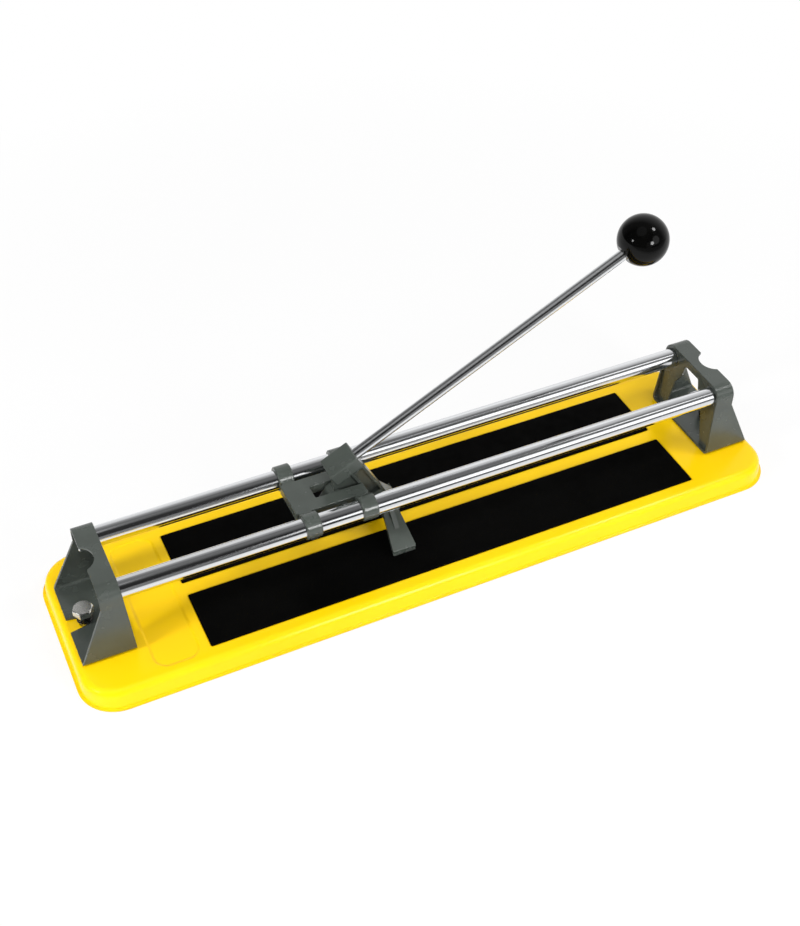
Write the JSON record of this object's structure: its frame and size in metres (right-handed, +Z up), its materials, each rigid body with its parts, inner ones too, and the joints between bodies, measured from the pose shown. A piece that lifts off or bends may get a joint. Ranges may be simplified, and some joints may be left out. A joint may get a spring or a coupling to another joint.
{
  "type": "tile cutter",
  "caption": "Manual tile cutter: yellow base with rubber mats, chromed rails in sprung brackets, and a sliding carriage whose ball-knob lever carries the scoring wheel and breaker foot.",
  "frame": {"origin": "middle of the base's footprint, on the floor it stands on", "axes": "+X along the rails towards the end the lever points to, +Y to the rear rail, +Z up"},
  "size_m": [0.5666, 0.149, 0.2349],
  "materials": {
    "yellow_paint": "gloss",
    "mat_rubber": "matte",
    "grey_paint": "satin",
    "chrome": "polished",
    "black_plastic": "gloss",
    "zinc_steel": "satin",
    "spring_steel": "satin",
    "wheel_steel": "ground"
  },
  "bodies": {
    "base": {"base_tray": "yellow_paint", "front_mat": "mat_rubber", "rear_mat": "mat_rubber", "bracket_bolts": "zinc_steel", "deck_washers": "zinc_steel", "bracket_nuts": "zinc_steel", "left_bolt_spring": "spring_steel", "right_bolt_spring": "spring_steel"},
    "rail_frame": {"left_bracket": "grey_paint", "right_bracket": "grey_paint", "front_rail": "chrome", "rear_rail": "chrome"},
    "carriage": {"carriage_frame": "grey_paint", "pivot_pin": "zinc_steel", "pivot_clip": "zinc_steel"},
    "lever": {"lever_casting": "grey_paint", "lever_rod": "chrome", "ball_knob": "black_plastic", "breaker_foot": "grey_paint", "breaker_pin": "zinc_steel", "wheel_screw": "zinc_steel", "wheel_nut": "zinc_steel"},
    "wheel": {"cutter_wheel": "wheel_steel"}
  },
  "joints": [
    {"name": "frame_lift", "type": "slide", "parent": "base", "child": "rail_frame", "axis": [0, 0, 1], "range_m": [0, 0.002], "stiffness_N_per_m": 12000, "springref_m": -0.003, "deforming": ["left_bolt_spring", "right_bolt_spring"]},
    {"name": "carriage_slide", "type": "slide", "parent": "rail_frame", "child": "carriage", "axis": [1, 0, 0], "range_m": [-0.13, 0.238]},
    {"name": "lever_pivot", "type": "hinge", "parent": "carriage", "child": "lever", "pos_m": [-0.0697, 0, 0.0632], "axis": [0, -1, 0], "range_deg": [0, 32]},
    {"name": "wheel_spin", "type": "hinge", "parent": "lever", "child": "wheel", "pos_m": [-0.09026, 0, 0.03584], "axis": [0, 1, 0], "continuous": true}
  ]
}
